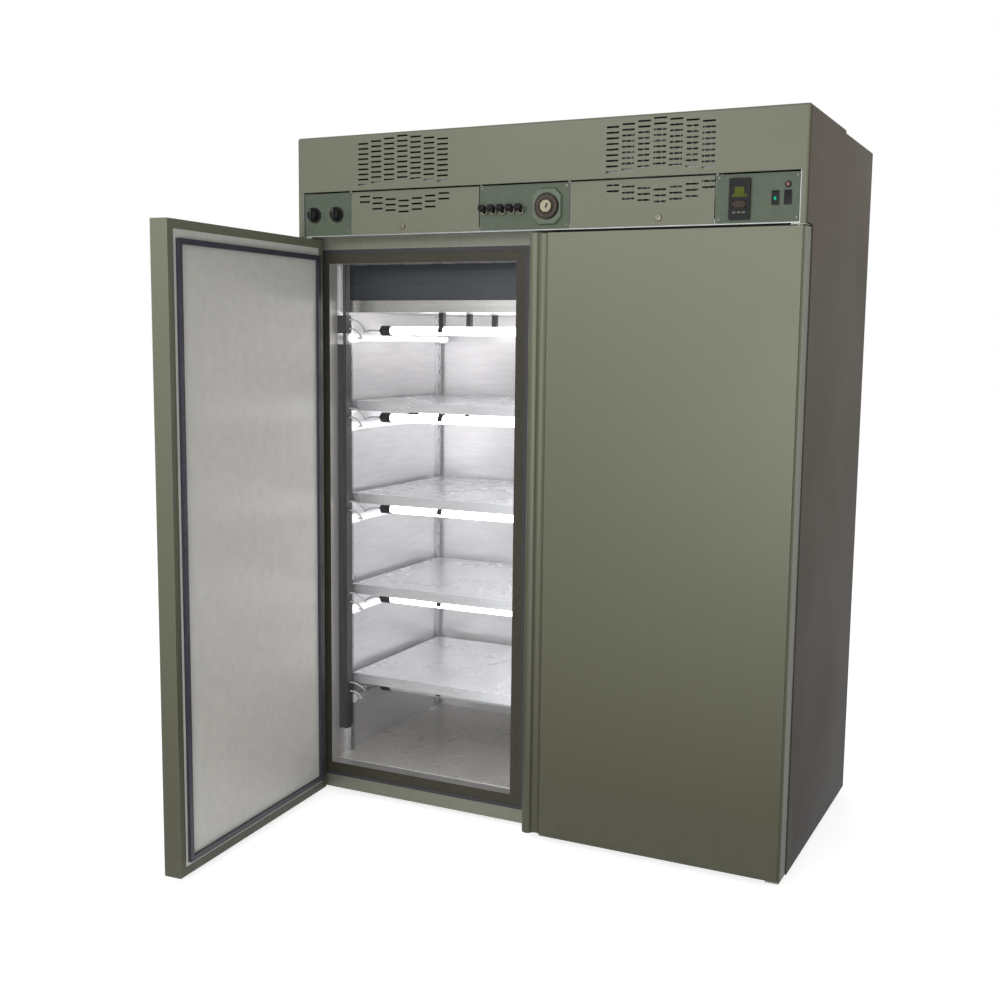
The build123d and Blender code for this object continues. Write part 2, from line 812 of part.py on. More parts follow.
def lock(lock_x):
    """Quarter-turn lock: slotted head, stem through the flap and a cam, unlocked."""
    y = at(fascia_recess)
    head = rod_y(y - 4, y, lock_x, lock_height, lock_radius)
    rim = head.edges().filter_by(GeomType.CIRCLE).group_by(Axis.Y)[0]
    head = fillet(rim, 1.5)
    head -= slab(lock_x - 1.2, lock_x + 1.2, y - 5, y - 2.5, lock_height - 6, lock_height + 6)
    stem = rod_y(y, y + 9, lock_x, lock_height, 6)
    cam = slab(lock_x - 5, lock_x + cam_length, y + 6.5, y + 8.5, lock_height - 5, lock_height + 5)
    return head + stem + cam


# Controls

def knob(x):
    """Skirted knob with a raised finger bar and a shaft through the plate."""
    front = at(fascia_recess)
    z = control_height
    skirt = rod_y(front - 4, front - 0.5, x, z, knob_radius)
    cone = Location((x, front - 4 - (knob_length - 4) / 2, z), (90, 0, 0))
    body = cone * Cone(knob_radius - 5, knob_radius - 8, knob_length - 4)
    bar = slab(x - 4, x + 4, front - knob_length - 5, front - 4, z - 15, z + 19)
    bar_edges = bar.edges().filter_by(Axis.Y)
    bar = fillet(bar_edges, 3)
    flutes = [rod_y(front - 8, front, x + (knob_radius + 1) * math.cos(math.radians(a)),
                    z + (knob_radius + 1) * math.sin(math.radians(a)), 2.2)
              for a in range(0, 360, 30)]
    shaft = rod_y(front - 1, front + 14, x, z, 3)
    return (skirt - flutes) + body + bar + shaft


def toggle(x):
    """Lever switch with a fat rounded head on a tapered neck, standing up."""
    pivot = at(fascia_recess) - 2
    z = toggle_height
    lever = Location((x, pivot, z)) * Sphere(toggle_ball)
    lever += Location((x, pivot - 7, z), (90, 0, 0)) * Cone(3.4, 2.6, 14)
    head = slab(x - toggle_head / 2, x + toggle_head / 2, pivot - 26, pivot - 12, z - 8, z + 8)
    head = fillet(head.edges().filter_by(Axis.Y), 5)
    head = fillet(head.faces().sort_by(Axis.Y)[0].edges(), 3)
    lever += head
    return lever.rotate(Axis((x, pivot, z), (1, 0, 0)), -toggle_tilt)


def control_bezels():
    """Black collars, rocker surrounds, lamp bezel and the bodies behind the plates."""
    front = at(fascia_recess)
    z = control_height
    pieces = []
    for x in knob_places:
        body = rod_y(front + 3, front + 18, x, z, 12)
        pieces.append(body - rod_y(front + 2, front + 14.5, x, z, 3.05))
    for i in range(toggle_count):
        x = toggle_first + toggle_pitch * i
        tz = toggle_height
        collar = rod_y(front - 2.5, front, x, tz, 10) - rod_y(front - 3, front + 1, x, tz, 6.5)
        body = slab(x - 10, x + 10, front + 3, front + 26, tz - 12, tz + 12)
        bush = rod_y(front - 2, front + 3, x, tz, 6.5)
        cup = Location((x, front - 2, tz)) * Sphere(toggle_ball + 0.05)
        pieces.append(collar)
        pieces.append(body + bush - cup)
    motor = rod_y(front + 3, front + 30, timer_place, z, 30)
    motor += rod_y(front - 2, front + 3, timer_place, z, motor_neck)
    pieces.append(motor - rod_y(front - 3, front + 12, timer_place, z, 2.55))
    for x in rocker_places:
        w, h = rocker_width / 2, rocker_height / 2
        rim = window(x - w - 2.5, x + w + 2.5, front - 2.5, front, z - h - 2.5, z + h + 2.5, 2)
        box = slab(x - w - 1, x + w + 1, front, front + 22, z - h - 1, z + h + 1)
        box -= slab(x - w - 0.4, x + w + 0.4, front - 1, front + 14, z - h - 0.5, z + h + 0.5)
        pin = rod_x(x - w - 0.5, x + w + 0.5, front + 3, z, 1.5)
        pieces.append(rim + box + pin)
    x, lz = lamp_place
    pieces.append(rod_y(front - 3, front, x, lz, lamp_radius))
    return pieces


def rocker(x):
    """Rocker cap with a shallow V face, tipped to one side."""
    front = at(fascia_recess)
    w, h = rocker_width / 2, rocker_height / 2
    face = Polyline((front + 1.5, -h + 0.5), (front - 3, -h + 0.5), (front - 0.5, 0),
                    (front - 3, h - 0.5), (front + 1.5, h - 0.5), (front + 7, 4),
                    (front + 7, -4), close=True)
    outline = make_face(Plane.YZ * face)
    cap = Location((x - w, 0, control_height)) * extrude(outline, rocker_width, dir=(1, 0, 0))
    cap -= rod_x(x - w - 1, x + w + 1, front + 3, control_height, 1.55)
    return cap.rotate(Axis((x, front + 3, control_height), (1, 0, 0)), 7)


def timer_case():
    """Eight-sided timer body with sloping sides and a round well for the dial."""
    front = at(fascia_recess)
    w, h, cut = timer_width / 2, timer_height / 2, 20.0
    corners = [(-w, -h + cut), (-w + cut, -h), (w - cut, -h), (w, -h + cut),
               (w, h - cut), (w - cut, h), (-w + cut, h), (-w, h - cut)]
    outline = make_face(Polyline(*corners, close=True))
    body = extrude(outline, timer_depth, taper=25)
    well_depth = timer_depth - 2
    body -= Location((0, 0, timer_depth - well_depth / 2 + 0.5)) * Cylinder(dial_radius + 3, well_depth + 1)
    body -= Cylinder(motor_neck, 2 * timer_depth)
    place = Location((timer_place, front, control_height), (90, 0, 0))
    return place * body


def timer_dial():
    """Day dial: notched dark ring round a pale core on a short shaft."""
    front = at(fascia_recess)
    z = control_height
    ring = rod_y(front - 12, front - 3, timer_place, z, dial_radius)
    ring -= rod_y(front - 13, front - 10, timer_place, z, dial_core)
    ring += rod_y(front - 16, front - 10, timer_place, z, dial_core - 6)
    ring += rod_y(front - 3, front + 10, timer_place, z, 2.5)
    notches = []
    for i in range(24):
        a = math.radians(15 * i)
        notches.append(rod_y(front - 13, front - 8, timer_place + dial_radius * math.cos(a),
                             z + dial_radius * math.sin(a), 1.8))
    return ring - notches


def controller_case():
    """Bezel of the temperature controller with its case behind the plate."""
    front = at(fascia_recess)
    w, h, z = controller_width / 2, controller_height / 2, control_height
    bezel = slab(controller_place - w, controller_place + w, front - 7, front, z - h, z + h)
    bezel = fillet(bezel.edges().filter_by(Axis.Y), 3)
    bezel -= slab(controller_place - 22, controller_place + 22, front - 8, front - 5,
                  z + 2, z + 44)
    bezel -= slab(controller_place - 18, controller_place + 18, front - 8, front - 1,
                  z - 22, z - 5)
    body = bezel + slab(controller_place - 22.5, controller_place + 22.5, front, front + 80,
                        z - 45.5, z + 45.5)
    return body - rod_y(front - 2, front + 9, controller_place, z - 13.5, key_stem + 0.05)


def controller_display():
    """Window of the controller with its raised lit band."""
    seat = at(fascia_recess) - 5
    z = control_height
    pane = slab(controller_place - 22, controller_place + 22, seat - 0.8, seat, z + 2, z + 44)
    band = slab(controller_place - 18, controller_place + 19, seat - 1.6, seat - 0.8, z + 5, z + 12)
    block = slab(controller_place - 12, controller_place + 12, seat - 1.6, seat - 0.8, z + 12, z + 29)
    return pane + band + block


def controller_key():
    """Long oval key under the display, on a stem."""
    front = at(fascia_recess)
    z = control_height - 13.5
    key = extrude(SlotOverall(35, 16), 6)
    cap = Location((controller_place, front - 2.5, z), (90, 0, 0)) * key
    return cap + rod_y(front - 2.5, front + 5, controller_place, z, key_stem)


# Machinery in the header

def compressor():
    """Hermetic compressor on a base plate with four rubber feet."""
    x, y = 120.0, at(560)
    base = header_bottom
    profile = Polyline((0, 0), (80, 0), (96, 22), (96, 82), (100, 86), (100, 92), (96, 96),
                       (94, 120), (70, 150), (0, 162), close=True)
    shell = revolve(Plane.XZ * make_face(profile), Axis.Z)
    body = Location((x, y, base + 20)) * shell
    plate = slab(x - 120, x + 120, y - 90, y + 90, base + 14, base + 20)
    body += plate
    for dx in (-105, 105):
        for dy in (-75, 75):
            body += rod_z(base, base + 14, x + dx, y + dy, 12)
    return body


def condenser():
    """Finned condenser with its fan shroud and motor bracket behind the right vent."""
    y0, y1 = at(60), at(120)
    x0, x1 = fan_place - 150, fan_place + 150
    z0, z1 = header_bottom + sheet, 1985.0
    block = slab(x0, x0 + 3, y0, y1, z0, z1) + slab(x1 - 3, x1, y0, y1, z0, z1)
    block += slab(x0, x1, y1, y1 + 3, z0, z1)
    block -= rod_y(y1 - 1, y1 + 5, fan_place, fan_height, fan_radius + 6)
    for i in range(6):
        block += rod_x(x0 - 14, x1 + 14, (y0 + y1) / 2, z0 + 28 + 40 * i, 5)
    for i in range(17):
        x = x0 + 18 + 16.5 * i
        block += slab(x - 0.8, x + 0.8, y0 + 3, y1 - 6, z0 + 4, z1 - 6)
    bar_y = y1 + 70
    bar = slab(fan_place - 20, fan_place + 20, bar_y, bar_y + 3, z0, fan_height + 40)
    foot = slab(fan_place - 20, fan_place + 20, y1 + 3, bar_y, z0, z0 + 3)
    motor = rod_y(bar_y - 40, bar_y, fan_place, fan_height, 34)
    motor -= rod_y(bar_y - 41, bar_y - 10, fan_place, fan_height, 4.05)
    return block + foot + bar + motor


def condenser_fan():
    """Five pitched blades on a hub and shaft."""
    y = at(120) + 14
    hub = rod_y(y - 8, y + 12, fan_place, fan_height, 26)
    shaft = rod_y(y + 12, at(120) + 56, fan_place, fan_height, 4)
    wheel = hub + shaft
    blade_plan = Polyline((20, -14), (fan_radius - 8, -34), (fan_radius, -10),
                          (fan_radius - 6, 30), (22, 12), close=True)
    blade = extrude(make_face(blade_plan), 2.4)
    blade = blade.rotate(Axis.X, 24)
    for i in range(5):
        turned = blade.rotate(Axis.Z, 72 * i)
        wheel += Location((fan_place, y + 2, fan_height), (90, 0, 0)) * turned
    return wheel


def ballast_tray():
    """Steel tray with lamp ballasts and a terminal strip."""
    x0, x1, y0, y1 = -640.0, -120.0, at(130), at(400)
    base = header_bottom
    tray = slab(x0, x1, y0, y1, base, base + 30) - slab(x0 + 2, x1 - 2, y0 + 2, y1 - 2,
                                                       base + 2, base + 31)
    for i in range(8):
        x = x0 + 30 + 58 * i
        unit = slab(x, x + 42, y0 + 30, y0 + 200, base + 2, base + 34)
        unit = fillet(unit.edges().filter_by(Axis.Y).group_by(Axis.Z)[-1], 5)
        tray += unit
    tray += slab(x0 + 40, x1 - 40, y0 + 220, y0 + 244, base + 2, base + 26)
    return tray


def cable_gland():
    """Gland of the mains inlet at the back: hexagon, dome, thread and open bore."""
    x, z = gland_place
    body = Location((x, back + 8, z), (90, 0, 0)) * extrude(RegularPolygon(15, 6), 8)
    body += Location((x, back + 16, z), (-90, 0, 0)) * Cone(12.5, 9.5, 16)
    body += rod_y(back - sheet, back, x, z, gland_thread)
    body += rod_y(back - sheet - 6, back - sheet, x, z, 13)
    return body - rod_y(back - 20, back + 30, x, z, gland_bore)


def main():
    os.makedirs("parts", exist_ok=True)
    save("base_plinth", base_plinth())
    save("side_panel_left", side_panel())
    save("side_panel_right", mirrored(side_panel()))
    save("back_panel", across_panel(back_inner + sheet, back, plinth_height, header_bottom))
    save("floor_panel", across_panel(frame_back, back_inner + sheet, plinth_height, floor_top))
    save("ceiling_panel", across_panel(frame_back, back_inner + sheet, ceiling_bottom,
                                       header_bottom))
    save("chamber_liner", *chamber_liner())
    save("front_frame", *frame_bars())
    save("breaker_frames", breaker_frame(), mirrored(breaker_frame()))
    save("seal_strips", seal_strip(), mirrored(seal_strip()))
    save("hinge_brackets", *hinge_set())

    closed = {"shell": door_shell(), "liner": liner_block(0), "gasket": door_gasket()}
    for name, piece in closed.items():
        save(f"door_left_{name}", swung_left(piece))
        save(f"door_right_{name}", mirrored(piece))

    for i, top in enumerate(shelf_levels):
        save(f"shelf_{shelf_count - i}", shelf(top))
    posts = [standard(at(standard_front)), standard(at(standard_rear))]
    posts += [runner(top) for top in shelf_levels]
    save("shelf_standards", *posts, *[mirrored(p) for p in posts])

    lit = [tube(y, top) for top in lamp_levels[1:] for y in lamp_rows()]
    save("lamp_tubes_lit", *lit)
    save("lamp_tubes_unlit", *[tube(y, lamp_levels[0]) for y in lamp_rows()])
    caps = [cap for top in lamp_levels for y in lamp_rows() for cap in end_caps(y, top)]
    clips = []
    for top in lamp_levels:
        base = top if top == cooler_bottom else top - sheet
        for y in lamp_rows():
            clips += tube_clips(y, top, base)
    side_holders = [block for top in lamp_levels for block in side_clips(top)]
    save("lamp_holders", *caps, *clips, *side_holders, *[mirrored(b) for b in side_holders])
    sides = [side_lamp(top) for top in lamp_levels]
    save("side_lamps", *sides, *[mirrored(s) for s in sides])
    save("cable_duct", cable_duct(), *duct_plugs())
    save("lamp_leads", *[piece for top in lamp_levels for piece in level_leads(top)])

    save("cooler_frame", cooler_frame())
    save("cooler_grille", cooler_grille())
    save("evaporator_coil", evaporator())
    save("evaporator_blower", blower())

    save("hood_cover", hood_cover())
    save("rear_cover", rear_cover())
    save("fascia_frame", fascia_frame())
    save("control_plates", *control_plates())
    save("flap_left", flap("flap_left", vent_centres[0], -399.0))
    save("flap_right", flap("flap_right", vent_centres[1], 365.0))
    save("lock_left", lock(-399.0))
    save("lock_right", lock(365.0))
    for i, x in enumerate(knob_places):
        save(f"knob_{i + 1}", knob(x))
    for i in range(toggle_count):
        save(f"toggle_{i + 1}", toggle(toggle_first + toggle_pitch * i))
    save("control_bezels", *control_bezels())
    save("timer_case", timer_case())
    save("timer_dial", timer_dial())
    save("controller_case", controller_case())
    save("controller_display", controller_display())
    save("controller_key", controller_key())
    for i, x in enumerate(rocker_places):
        save(f"rocker_{i + 1}", rocker(x))

    save("compressor", compressor())
    save("condenser", condenser())
    save("condenser_fan", condenser_fan())
    save("ballast_tray", ballast_tray())
    save("cable_gland", cable_gland())


if __name__ == "__main__":
    main()
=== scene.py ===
import bmesh
import bpy
import math
from mathutils import Matrix, Vector


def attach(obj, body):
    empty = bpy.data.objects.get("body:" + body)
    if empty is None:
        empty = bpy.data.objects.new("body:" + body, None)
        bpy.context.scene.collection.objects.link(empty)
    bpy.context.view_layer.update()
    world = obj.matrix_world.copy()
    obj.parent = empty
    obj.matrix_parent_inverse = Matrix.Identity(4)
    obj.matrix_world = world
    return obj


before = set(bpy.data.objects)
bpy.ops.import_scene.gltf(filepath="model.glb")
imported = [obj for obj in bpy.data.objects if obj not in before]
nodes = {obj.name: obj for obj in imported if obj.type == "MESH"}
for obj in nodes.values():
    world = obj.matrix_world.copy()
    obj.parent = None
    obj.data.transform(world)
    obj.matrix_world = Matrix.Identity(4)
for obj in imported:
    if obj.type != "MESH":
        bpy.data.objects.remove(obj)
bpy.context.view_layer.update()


# Camera
# It stands in front of the cabinet's right half at chest height, turned to the left and
# tipped slightly down, with a normal lens and next to no tilt.
camera_place = Vector((1.462, -3.556, 1.424))
camera_yaw = math.radians(26.08)
camera_pitch = math.radians(7.28)
camera_roll = math.radians(0.66)
camera_lens_mm = 45.35
look = Vector((-math.sin(camera_yaw) * math.cos(camera_pitch),
               math.cos(camera_yaw) * math.cos(camera_pitch),
               -math.sin(camera_pitch)))
level_right = Vector((math.cos(camera_yaw), math.sin(camera_yaw), 0.0))
level_up = level_right.cross(look)
right = math.cos(camera_roll) * level_right + math.sin(camera_roll) * level_up
up = math.cos(camera_roll) * level_up - math.sin(camera_roll) * level_right
camera = bpy.data.objects.new("camera", bpy.data.cameras.new("camera"))
camera.data.lens = camera_lens_mm
camera.data.sensor_width = 36.0
camera.matrix_world = Matrix.Translation(camera_place) @ Matrix((right, up, -look)).transposed().to_4x4()
bpy.context.scene.collection.objects.link(camera)
bpy.context.scene.camera = camera


# Floor and room light
# A pale seamless floor under a white surround. Two large soft lamps stand in front of the
# cabinet, and a weak one behind it lifts the back and the top.
def add_node(tree, kind, **sockets):
    """New shader node; each keyword names an input socket and its constant."""
    made = tree.nodes.new(kind)
    for name, value in sockets.items():
        made.inputs[name.replace("_", " ")].default_value = value
    return made


def wire(tree, *pairs):
    """Link pairs of sockets, output first."""
    for source, target in pairs:
        tree.links.new(source, target)


def seen_directly(tree):
    """One where a ray comes from the camera, a mirror or clear glass."""
    path = add_node(tree, "ShaderNodeLightPath")
    first = add_node(tree, "ShaderNodeMath")
    first.operation = "MAXIMUM"
    second = add_node(tree, "ShaderNodeMath")
    second.operation = "MAXIMUM"
    wire(tree, (path.outputs["Is Camera Ray"], first.inputs[0]),
         (path.outputs["Is Transmission Ray"], first.inputs[1]),
         (first.outputs[0], second.inputs[0]),
         (path.outputs["Is Glossy Ray"], second.inputs[1]))
    return second.outputs[0]


floor_mesh = bpy.data.meshes.new("floor")
ground = bmesh.new()
bmesh.ops.create_grid(ground, x_segments=1, y_segments=1, size=14.0)
ground.to_mesh(floor_mesh)
ground.free()
floor = bpy.data.objects.new("floor", floor_mesh)
bpy.context.scene.collection.objects.link(floor)

floor_look = bpy.data.materials.new("pale_floor")
floor_look.use_nodes = True
tree = floor_look.node_tree
tree.nodes.clear()
matt = add_node(tree, "ShaderNodeBsdfDiffuse", Color=(0.62, 0.62, 0.62, 1.0))
glow = add_node(tree, "ShaderNodeEmission", Color=(1.0, 1.0, 1.0, 1.0))
strength = add_node(tree, "ShaderNodeMath")
strength.operation = "MULTIPLY"
strength.inputs[1].default_value = 0.76
both = add_node(tree, "ShaderNodeAddShader")
surface = add_node(tree, "ShaderNodeOutputMaterial")
wire(tree, (seen_directly(tree), strength.inputs[0]), (strength.outputs[0], glow.inputs["Strength"]),
     (matt.outputs[0], both.inputs[0]), (glow.outputs[0], both.inputs[1]),
     (both.outputs[0], surface.inputs["Surface"]))
floor_mesh.materials.append(floor_look)

world = bpy.data.worlds.new("studio")
world.use_nodes = True
bpy.context.scene.world = world
tree = world.node_tree
tree.nodes.clear()
room = add_node(tree, "ShaderNodeBackground", Color=(1.0, 1.0, 1.0, 1.0), Strength=0.42)
white = add_node(tree, "ShaderNodeBackground", Color=(1.0, 1.0, 1.0, 1.0), Strength=1.0)
choice = add_node(tree, "ShaderNodeMixShader")
sky = add_node(tree, "ShaderNodeOutputWorld")
wire(tree, (seen_directly(tree), choice.inputs[0]), (room.outputs[0], choice.inputs[1]),
     (white.outputs[0], choice.inputs[2]), (choice.outputs[0], sky.inputs["Surface"]))


def soft_lamp(name, place, aim, size, watts):
    """Square area lamp turned to a point."""
    data = bpy.data.lights.new(name, "AREA")
    data.size = size
    data.energy = watts
    lamp = bpy.data.objects.new(name, data)
    lamp.matrix_world = Matrix.Translation(place) @ (
        (Vector(aim) - Vector(place)).to_track_quat("-Z", "Y").to_matrix().to_4x4())
    bpy.context.scene.collection.objects.link(lamp)


soft_lamp("front_lamp", (-1.2, -4.2, 3.4), (0.0, 0.0, 1.3), 2.4, 80)
soft_lamp("right_lamp", (3.6, -1.8, 3.6), (0.2, 0.0, 1.8), 2.0, 14)
soft_lamp("doorway_lamp", (0.5, -3.4, 1.0), (-0.4, 0.1, 0.1), 1.0, 32)
soft_lamp("back_lamp", (-1.0, 4.0, 3.2), (0.0, 0.0, 1.2), 2.4, 45)


# Shader effects
# Grain, smudges, worn edges and settled dust are what use leaves on sheet steel and plastic,
# and painted shade darkens colours towards the floor. Each is a node group that the finishes below share.
def effect(name, inputs, outputs):
    """Empty shader group with named sockets."""
    group = bpy.data.node_groups.new(name, "ShaderNodeTree")
    for label, kind, value in inputs:
        socket = group.interface.new_socket(label, in_out="INPUT", socket_type=kind)
        if value is not None:
            socket.default_value = value
    for label, kind in outputs:
        group.interface.new_socket(label, in_out="OUTPUT", socket_type=kind)
    return group, group.nodes.new("NodeGroupInput"), group.nodes.new("NodeGroupOutput")


def in_range(tree, value, low, high, to_low, to_high):
    """Map Range node fed by a socket."""
    mapped = add_node(tree, "ShaderNodeMapRange", From_Min=low, From_Max=high,
                      To_Min=to_low, To_Max=to_high)
    wire(tree, (value, mapped.inputs["Value"]))
    return mapped.outputs[0]


grain, given, result = effect(
    "rolled_grain",
    [("Stretch", "NodeSocketVector", (4.0, 4.0, 400.0)), ("Depth", "NodeSocketFloat", 0.5)],
    [("Tone", "NodeSocketFloat"), ("Height", "NodeSocketFloat")])
place = add_node(grain, "ShaderNodeTexCoord")
fine = add_node(grain, "ShaderNodeMapping")
streaks = add_node(grain, "ShaderNodeTexNoise", Scale=1.0, Detail=3.0, Roughness=0.6)
wire(grain, (place.outputs["Object"], fine.inputs["Vector"]),
     (given.outputs["Stretch"], fine.inputs["Scale"]), (fine.outputs[0], streaks.inputs["Vector"]))
scaled = add_node(grain, "ShaderNodeMath")
scaled.operation = "MULTIPLY"
wire(grain, (in_range(grain, streaks.outputs["Fac"], 0.3, 0.7, 0.0, 1.0), result.inputs["Tone"]),
     (streaks.outputs["Fac"], scaled.inputs[0]), (given.outputs["Depth"], scaled.inputs[1]),
     (scaled.outputs[0], result.inputs["Height"]))

smudge, given, result = effect(
    "wiped_smudges",
    [("Size", "NodeSocketFloat", 3.0), ("Contrast", "NodeSocketFloat", 0.5)],
    [("Mask", "NodeSocketFloat")])
place = add_node(smudge, "ShaderNodeTexCoord")
clouds = add_node(smudge, "ShaderNodeTexNoise", Detail=5.0, Roughness=0.62, Distortion=0.6)
spread = add_node(smudge, "ShaderNodeMath")
spread.operation = "MULTIPLY"
wire(smudge, (place.outputs["Object"], clouds.inputs["Vector"]),
     (given.outputs["Size"], clouds.inputs["Scale"]),
     (in_range(smudge, clouds.outputs["Fac"], 0.35, 0.68, 0.0, 1.0), spread.inputs[0]),
     (given.outputs["Contrast"], spread.inputs[1]), (spread.outputs[0], result.inputs["Mask"]))

worn, given, result = effect(
    "worn_edges",
    [("Radius", "NodeSocketFloat", 0.003), ("Amount", "NodeSocketFloat", 0.5)],
    [("Mask", "NodeSocketFloat")])
rounded = add_node(worn, "ShaderNodeBevel")
rounded.samples = 6
facing = add_node(worn, "ShaderNodeNewGeometry")
match = add_node(worn, "ShaderNodeVectorMath")
match.operation = "DOT_PRODUCT"
patchy = add_node(worn, "ShaderNodeTexNoise", Scale=14.0, Detail=4.0)
broken = add_node(worn, "ShaderNodeMath")
broken.operation = "MULTIPLY"
amount = add_node(worn, "ShaderNodeMath")
amount.operation = "MULTIPLY"
wire(worn, (given.outputs["Radius"], rounded.inputs["Radius"]), (rounded.outputs[0], match.inputs[0]),
     (facing.outputs["Normal"], match.inputs[1]),
     (in_range(worn, match.outputs["Value"], 0.99, 0.8, 0.0, 1.0), broken.inputs[0]),
     (in_range(worn, patchy.outputs["Fac"], 0.35, 0.65, 0.35, 1.0), broken.inputs[1]),
     (broken.outputs[0], amount.inputs[0]), (given.outputs["Amount"], amount.inputs[1]),
     (amount.outputs[0], result.inputs["Mask"]))

dust, given, result = effect(
    "floor_dust",
    [("Top", "NodeSocketFloat", 0.5), ("Amount", "NodeSocketFloat", 0.5)],
    [("Mask", "NodeSocketFloat")])
place = add_node(dust, "ShaderNodeTexCoord")
axes = add_node(dust, "ShaderNodeSeparateXYZ")
low_part = add_node(dust, "ShaderNodeMapRange", From_Min=0.0, To_Min=1.0, To_Max=0.0)
specks = add_node(dust, "ShaderNodeTexNoise", Scale=22.0, Detail=6.0, Roughness=0.7)
layer = add_node(dust, "ShaderNodeMath")
layer.operation = "MULTIPLY"
total = add_node(dust, "ShaderNodeMath")
total.operation = "MULTIPLY"
wire(dust, (place.outputs["Object"], axes.inputs[0]), (axes.outputs["Z"], low_part.inputs["Value"]),
     (given.outputs["Top"], low_part.inputs["From Max"]),
     (place.outputs["Object"], specks.inputs["Vector"]),
     (low_part.outputs[0], layer.inputs[0]),
     (in_range(dust, specks.outputs["Fac"], 0.35, 0.7, 0.2, 1.0), layer.inputs[1]),
     (layer.outputs[0], total.inputs[0]), (given.outputs["Amount"], total.inputs[1]),
     (total.outputs[0], result.inputs["Mask"]))


# Painted shade: the mask is 1 at Low and falls to 0 at High, to darken colours towards the floor.
fade, given, result = effect(
    "painted_floor_shade",
    [("Low", "NodeSocketFloat", 0.0), ("High", "NodeSocketFloat", 1.9), ("Amount", "NodeSocketFloat", 0.5)],
    [("Mask", "NodeSocketFloat")])
place = add_node(fade, "ShaderNodeTexCoord")
axes = add_node(fade, "ShaderNodeSeparateXYZ")
slope = add_node(fade, "ShaderNodeMapRange", To_Min=1.0, To_Max=0.0)
weight = add_node(fade, "ShaderNodeMath")
weight.operation = "MULTIPLY"
wire(fade, (place.outputs["Object"], axes.inputs[0]), (axes.outputs["Z"], slope.inputs["Value"]),
     (given.outputs["Low"], slope.inputs["From Min"]), (given.outputs["High"], slope.inputs["From Max"]),
     (slope.outputs[0], weight.inputs[0]), (given.outputs["Amount"], weight.inputs[1]),
     (weight.outputs[0], result.inputs["Mask"]))


def place_effect(tree, group, **sockets):
    """Group node with its own constants."""
    made = tree.nodes.new("ShaderNodeGroup")
    made.node_tree = group
    for name, value in sockets.items():
        made.inputs[name].default_value = value
    return made


def blended(tree, factor, below, above):
    """Colour mix of two sockets or constants by a factor socket."""
    mix = tree.nodes.new("ShaderNodeMix")
    mix.data_type = "RGBA"
    wire(tree, (factor, mix.inputs[0]))
    for slot, colour in ((mix.inputs[6], below), (mix.inputs[7], above)):
        if isinstance(colour, tuple):
            slot.default_value = (*colour, 1.0)
        else:
            wire(tree, (colour, slot))
    return mix.outputs[2]


def finish(name, colour, shade, roughness, metallic=0.0, stretch=(60.0, 60.0, 60.0), depth=0.0002,
           smudge_size=3.0, smudge_amount=0.5, wear=0.0, wear_colour=(0.55, 0.55, 0.52),
           dust_top=0.5, dust_amount=0.0, coat=0.0, painted_shade_to=None, painted_shade_amount=0.5,
           specular=0.5):
    """Material of one finish: grain, smudges, worn edges, dust and low painted shade over a base colour."""
    look = bpy.data.materials.new(name)
    look.use_nodes = True
    tree = look.node_tree
    shader = tree.nodes["Principled BSDF"]
    shader.inputs["Metallic"].default_value = metallic
    shader.inputs["Coat Weight"].default_value = coat
    shader.inputs["Specular IOR Level"].default_value = specular
    streak = place_effect(tree, grain, Stretch=stretch, Depth=1.0)
    cloud = place_effect(tree, smudge, Size=smudge_size, Contrast=smudge_amount)
    base = blended(tree, streak.outputs["Tone"], colour, shade)
    base = blended(tree, cloud.outputs["Mask"], base, shade)
    # Painted shade: the colour darkens towards the floor.
    if painted_shade_to:
        lower = place_effect(tree, fade, Amount=painted_shade_amount)
        base = blended(tree, lower.outputs["Mask"], base, painted_shade_to)
    if wear:
        rub = place_effect(tree, worn, Radius=0.0025, Amount=wear)
        base = blended(tree, rub.outputs["Mask"], base, wear_colour)
    if dust_amount:
        grey = place_effect(tree, dust, Top=dust_top, Amount=dust_amount)
        base = blended(tree, grey.outputs["Mask"], base, (0.2, 0.19, 0.17))
    rough = in_range(tree, cloud.outputs["Mask"], 0.0, 1.0, roughness * 0.85, roughness * 1.2)
    bump = add_node(tree, "ShaderNodeBump", Strength=0.25, Distance=depth)
    wire(tree, (base, shader.inputs["Base Color"]), (rough, shader.inputs["Roughness"]),
         (streak.outputs["Height"], bump.inputs["Height"]), (bump.outputs[0], shader.inputs["Normal"]))
    return look


def dress(look, *names):
    """Give CAD nodes a finish."""
    for name in names:
        mesh = nodes[name].data
        mesh.materials.clear()
        mesh.materials.append(look)


facing_along = 0.7


def second_look(name, look, chosen):
    """Give the faces of a CAD node that a rule picks a second finish."""
    mesh = nodes[name].data
    mesh.materials.append(look)
    for face in mesh.polygons:
        if chosen(mesh, face):
            face.material_index = 1


# Outer steel
# The cabinet's skin is thin stainless sheet with a rolled olive-grey cast, folded at its
# edges. The grain runs up the doors and along the hood.
olive = (0.165, 0.172, 0.122)
olive_shade = (0.156, 0.163, 0.115)
# Painted shade: the doors and the sides darken to these colours towards the floor.
olive_painted_shade = (0.045, 0.044, 0.024)
brown_painted_shade = (0.008, 0.006, 0.005)
upright_steel = finish("olive_steel_upright", olive, olive_shade, 0.5, metallic=0.2,
                       stretch=(420.0, 420.0, 1.2), depth=0.00004, smudge_size=1.2,
                       smudge_amount=0.3, wear=0.35, wear_colour=(0.36, 0.37, 0.31),
                       dust_top=0.2, dust_amount=0.2, painted_shade_to=olive_painted_shade, painted_shade_amount=0.9, specular=0.35)
